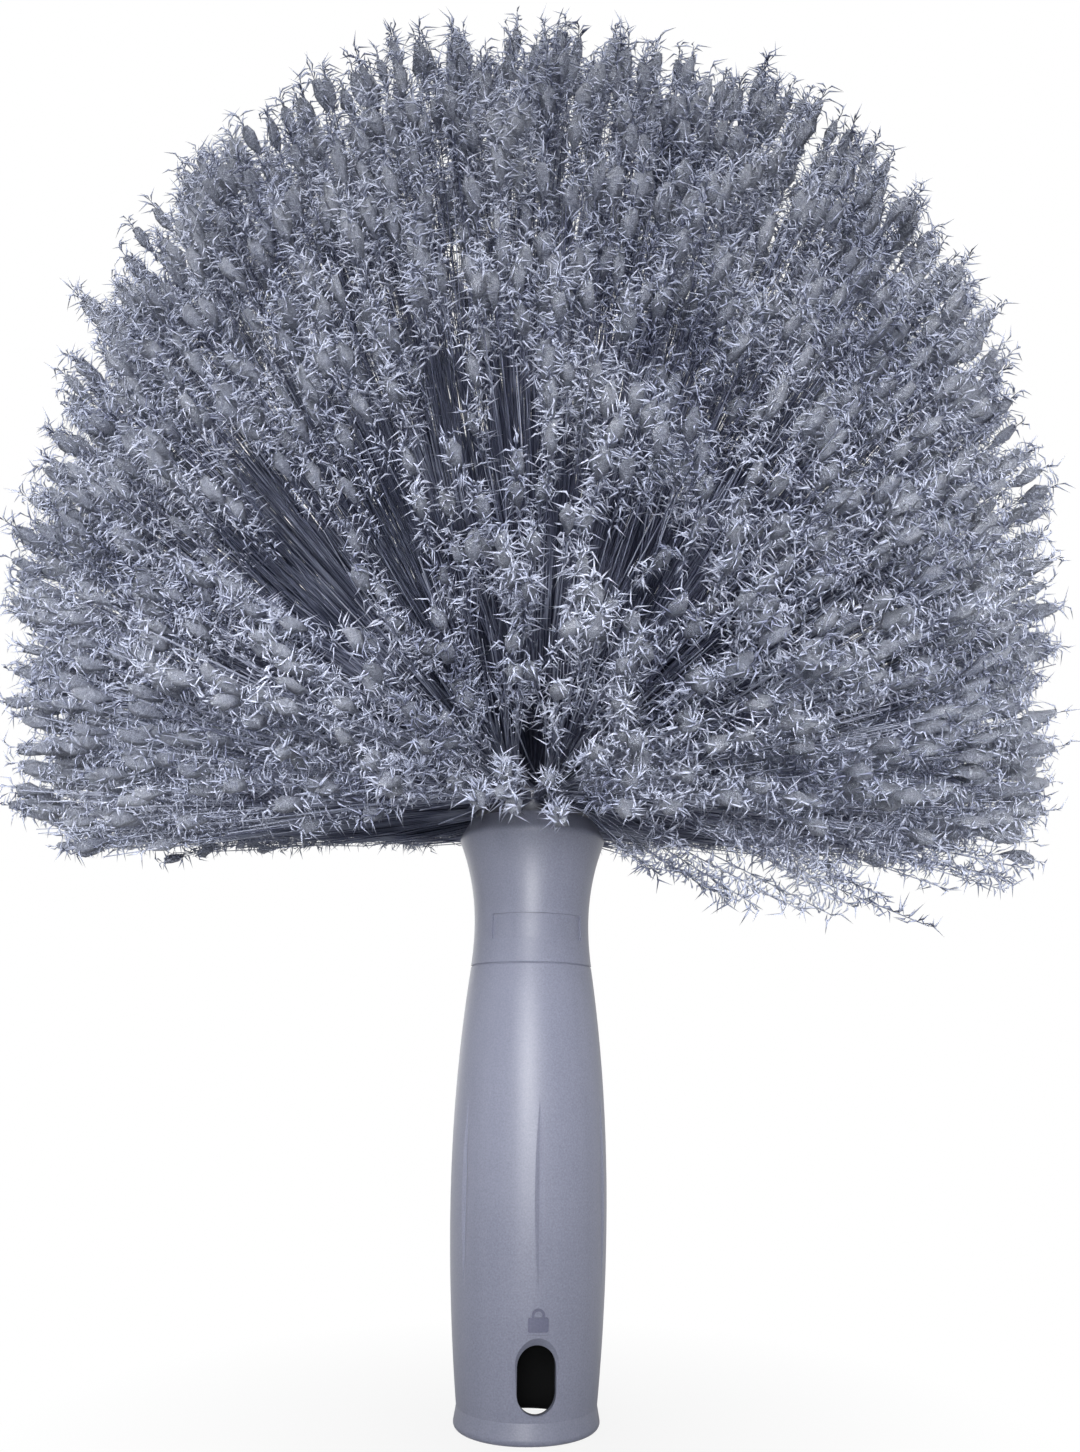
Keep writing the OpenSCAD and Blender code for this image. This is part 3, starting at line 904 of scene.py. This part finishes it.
def ball():
    """The ball that the tufts stand in, sunk a little at each tuft's hole."""
    rows, turns = BALL_ROWS, BALL_TURNS
    holes = np.array([root for _, _, root, _, _ in tufts()])

    def skin(tilt, turn):
        way = direction(tilt, turn)
        apart = math.degrees(math.acos(min(1.0, float((holes @ way).max()))))
        sunk = HOLE_DEPTH * max(0.0, min(1.0, (HOLE_HALF - apart) / HOLE_EDGE))
        return BALL_MIDDLE + way * (BALL_RADIUS - sunk)

    tilts = [BALL_END * i / rows for i in range(1, rows + 1)]
    points = [skin(tilt, 360 * k / turns) for tilt in tilts for k in range(turns)]
    faces = []
    for i in range(rows - 1):
        for k in range(turns):
            n = (k + 1) % turns
            faces.append((i * turns + k, (i + 1) * turns + k, (i + 1) * turns + n, i * turns + n))
    top, bottom = len(points), len(points) + 1
    base = BALL_RADIUS * math.cos(math.radians(BALL_END))
    points += [skin(0.0, 0.0), BALL_MIDDLE + [0, 0, base]]
    for k in range(turns):
        n = (k + 1) % turns
        faces.append((top, k, n))
        faces.append((bottom, (rows - 1) * turns + n, (rows - 1) * turns + k))
    mesh_piece("drilled_ball", points, faces, dark_plastic)


ball()


# Lock sign

# The grip's outline there: the arc's radius, the widest radius and the height of that.
GRIP_ARC = 430 * MM
GRIP_RADIUS = 19 * MM
GRIP_MIDDLE = 52 * MM
# How far the sign stands out of the grip, and in.
SIGN_RAISED = 0.35 * MM
SIGN_ROOT = 0.25 * MM
# Heights and half widths of the padlock's body, then of the bar, in millimetres.
LOCK_BODY = ((22.9, 2.0), (23.15, 2.3), (24.4, 2.35), (25.65, 2.3), (25.9, 2.0))
SIGN_BAR = ((21.75, 2.65), (22.3, 2.65))
# The shackle: its foot's height, the length of its legs, its radii and how round its arch is.
SHACKLE_FOOT = 25.8
SHACKLE_LEG = 0.5
SHACKLE_RADII = (1.55, 0.95)
SHACKLE_ARCH = 0.95
SHACKLE_STEPS = 12


def on_grip(x, z, out):
    """A point of the grip's front at a height, some way out of its skin."""
    across = GRIP_RADIUS - GRIP_ARC + math.sqrt(GRIP_ARC**2 - (GRIP_MIDDLE - z) ** 2) + out
    return (x, -math.sqrt(across**2 - x * x), z)


def raised(points, faces, rows):
    """Adds a closed raised shape from rows of places (x, z) on the grip's front, in millimetres."""
    first, wide, tall = len(points), len(rows[0]), len(rows)
    for out in (SIGN_RAISED, -SIGN_ROOT):
        points += [on_grip(x * MM, z * MM, out) for row in rows for x, z in row]
    back = first + wide * tall
    for i in range(tall - 1):
        for k in range(wide - 1):
            a = i * wide + k
            faces.append((first + a, first + a + 1, first + a + wide + 1, first + a + wide))
            faces.append((back + a, back + a + wide, back + a + wide + 1, back + a + 1))
    rim = list(range(wide - 1))
    rim += [i * wide + wide - 1 for i in range(tall - 1)]
    rim += [(tall - 1) * wide + k for k in range(wide - 1, 0, -1)]
    rim += [i * wide for i in range(tall - 1, 0, -1)]
    for a, b in zip(rim, rim[1:] + rim[:1]):
        faces.append((first + b, first + a, back + a, back + b))


def spread_rows(outline):
    """Rows of nine places each, from heights and half widths."""
    return [[(half * k / 4, z) for k in range(-4, 5)] for z, half in outline]


def lock_sign():
    """A small closed padlock over a bar, raised on the grip above the latch slot, its body in a darker
    plastic as painted shade.
    """
    points, faces = [], []
    raised(points, faces, spread_rows(LOCK_BODY))
    shackle = []
    for step in range(SHACKLE_STEPS + 1):
        a = math.pi * step / SHACKLE_STEPS
        lift = SHACKLE_FOOT + SHACKLE_LEG * min(1.0, math.sin(a) * 3)
        arch = lift + SHACKLE_ARCH * math.sin(a) * np.array(SHACKLE_RADII)
        shackle.append([(-r * math.cos(a), float(z)) for r, z in zip(SHACKLE_RADII, arch)])
    raised(points, faces, shackle[::-1])
    mesh_piece("lock_sign", points, faces, sign_plastic, smooth=False)
    points, faces = [], []
    raised(points, faces, spread_rows(SIGN_BAR))
    mesh_piece("sign_bar", points, faces, plastic, smooth=False)


lock_sign()


# Camera and studio


CAMERA_PLACE = (-0.0398, -0.2959, 0.078)
CAMERA_LENS = 28.19
CAMERA_SENSOR = 36.0
# Degrees that it looks up, to the right, and is rolled by.
CAMERA_RISE = 16.97
CAMERA_TURN = 8.0
CAMERA_ROLL = -0.5


def place_camera():
    """The photograph's own view, fitted to the curves of the handle."""
    camera = bpy.data.cameras.new("camera")
    made = bpy.data.objects.new("camera", camera)
    bpy.context.scene.collection.objects.link(made)
    camera.sensor_width = CAMERA_SENSOR
    camera.sensor_fit = "AUTO"
    camera.lens = CAMERA_LENS
    camera.clip_start, camera.clip_end = 0.01, 20.0
    made.location = CAMERA_PLACE
    up = math.radians(CAMERA_RISE)
    yaw = math.radians(CAMERA_TURN)
    ahead = Vector((math.sin(yaw) * math.cos(up), math.cos(yaw) * math.cos(up), math.sin(up)))
    made.rotation_mode = "QUATERNION"
    roll = Quaternion(ahead, math.radians(CAMERA_ROLL))
    made.rotation_quaternion = roll @ ahead.to_track_quat("-Z", "Y")
    bpy.context.scene.camera = made


def lamp(name, place, aim, size, power, spread=180.0):
    """A soft rectangular lamp. A narrow spread makes the same watts brighter."""
    light = bpy.data.lights.new(name, "AREA")
    light.shape = "RECTANGLE"
    light.size, light.size_y = size
    light.energy = power
    light.spread = math.radians(spread)
    made = bpy.data.objects.new(name, light)
    bpy.context.scene.collection.objects.link(made)
    made.location = place
    made.rotation_mode = "QUATERNION"
    made.rotation_quaternion = (Vector(aim) - Vector(place)).to_track_quat("-Z", "Y")


def seen_white(tree):
    """1 for what the camera, a gloss or a glass ray sees."""
    camera = tree.node("ShaderNodeLightPath", out="Is Camera Ray")
    path = tree.last
    others = tree.value(path, "Is Glossy Ray") + tree.value(path, "Is Transmission Ray")
    return (camera + others).clamped()


# The floor's shade near the handle, how far it reaches, and how much of it the camera sees.
FLOOR_FADE = 0.12
FLOOR_GREY = 0.5
FLOOR_SEEN = 0.14
FLOOR_HALF = 6.0


def floor_finish():
    """White to the camera, with the lit floor and its shadow only near the handle."""
    made, tree, shader = material("floor")
    shader.inputs["Base Color"].default_value = (FLOOR_GREY, FLOOR_GREY, FLOOR_GREY, 1)
    shader.inputs["Roughness"].default_value = 0.9
    place = tree.node("ShaderNodeTexCoord", out="Object")
    near = (1.0 - tree.vector("LENGTH", place, out="Value") / FLOOR_FADE).clamped()
    glow = tree.node("ShaderNodeEmission", {}, {"Color": (1.0, 1.0, 1.0, 1.0), "Strength": 1.0})
    camera = tree.node("ShaderNodeLightPath", out="Is Camera Ray")
    rays = tree.last
    others = tree.value(rays, "Is Glossy Ray") + tree.value(rays, "Is Transmission Ray")
    shown = camera * (1.0 - near * FLOOR_SEEN) + others.clamped() * (1.0 - near)
    mixed = tree.node("ShaderNodeMixShader", {}, [shown.clamped()])
    mix = tree.last
    tree.links.new(shader.outputs[0], mix.inputs[1])
    tree.links.new(glow.socket, mix.inputs[2])
    tree.links.new(mixed.socket, made.node_tree.nodes["Material Output"].inputs["Surface"])
    return made


# Brightness of the world as a light. To the camera it is white.
WORLD_LIGHT = 0.53


def studio():
    """Plain level light, a white world and a white floor."""
    scene = bpy.context.scene
    scene.view_settings.view_transform = "Standard"
    world = bpy.data.worlds.new("studio")
    world.use_nodes = True
    scene.world = world
    tree = Tree(world.node_tree)
    background = world.node_tree.nodes["Background"]
    background.inputs["Color"].default_value = (1, 1, 1, 1)
    strength = seen_white(tree) * (1 - WORLD_LIGHT) + WORLD_LIGHT
    tree.links.new(strength.socket, background.inputs["Strength"])

    half = FLOOR_HALF
    mesh = bpy.data.meshes.new("floor")
    corners = [(-half, -half, 0), (half, -half, 0), (half, half, 0), (-half, half, 0)]
    mesh.from_pydata(corners, [], [(0, 1, 2, 3)])
    mesh.materials.append(floor_finish())
    made = bpy.data.objects.new("floor", mesh)
    scene.collection.objects.link(made)

    lamp("key", (-0.22, -1.05, 0.38), (0, 0, 0.20), (0.65, 0.5), 1.05, 36.0)
    lamp("low", (-0.10, -0.75, 0.04), (0, 0, 0.165), (0.40, 0.06), 0.20, 24.0)
    lamp("left", (-1.2, -0.2, 0.6), (0, 0, 0.20), (0.8, 0.8), 1.1)
    lamp("top", (0.0, 0.1, 1.4), (0, 0, 0.2), (1.2, 1.2), 6.0)
    lamp("back", (-0.3, 1.3, 0.5), (0, 0, 0.2), (1.4, 1.4), 6.0)


place_camera()
studio()
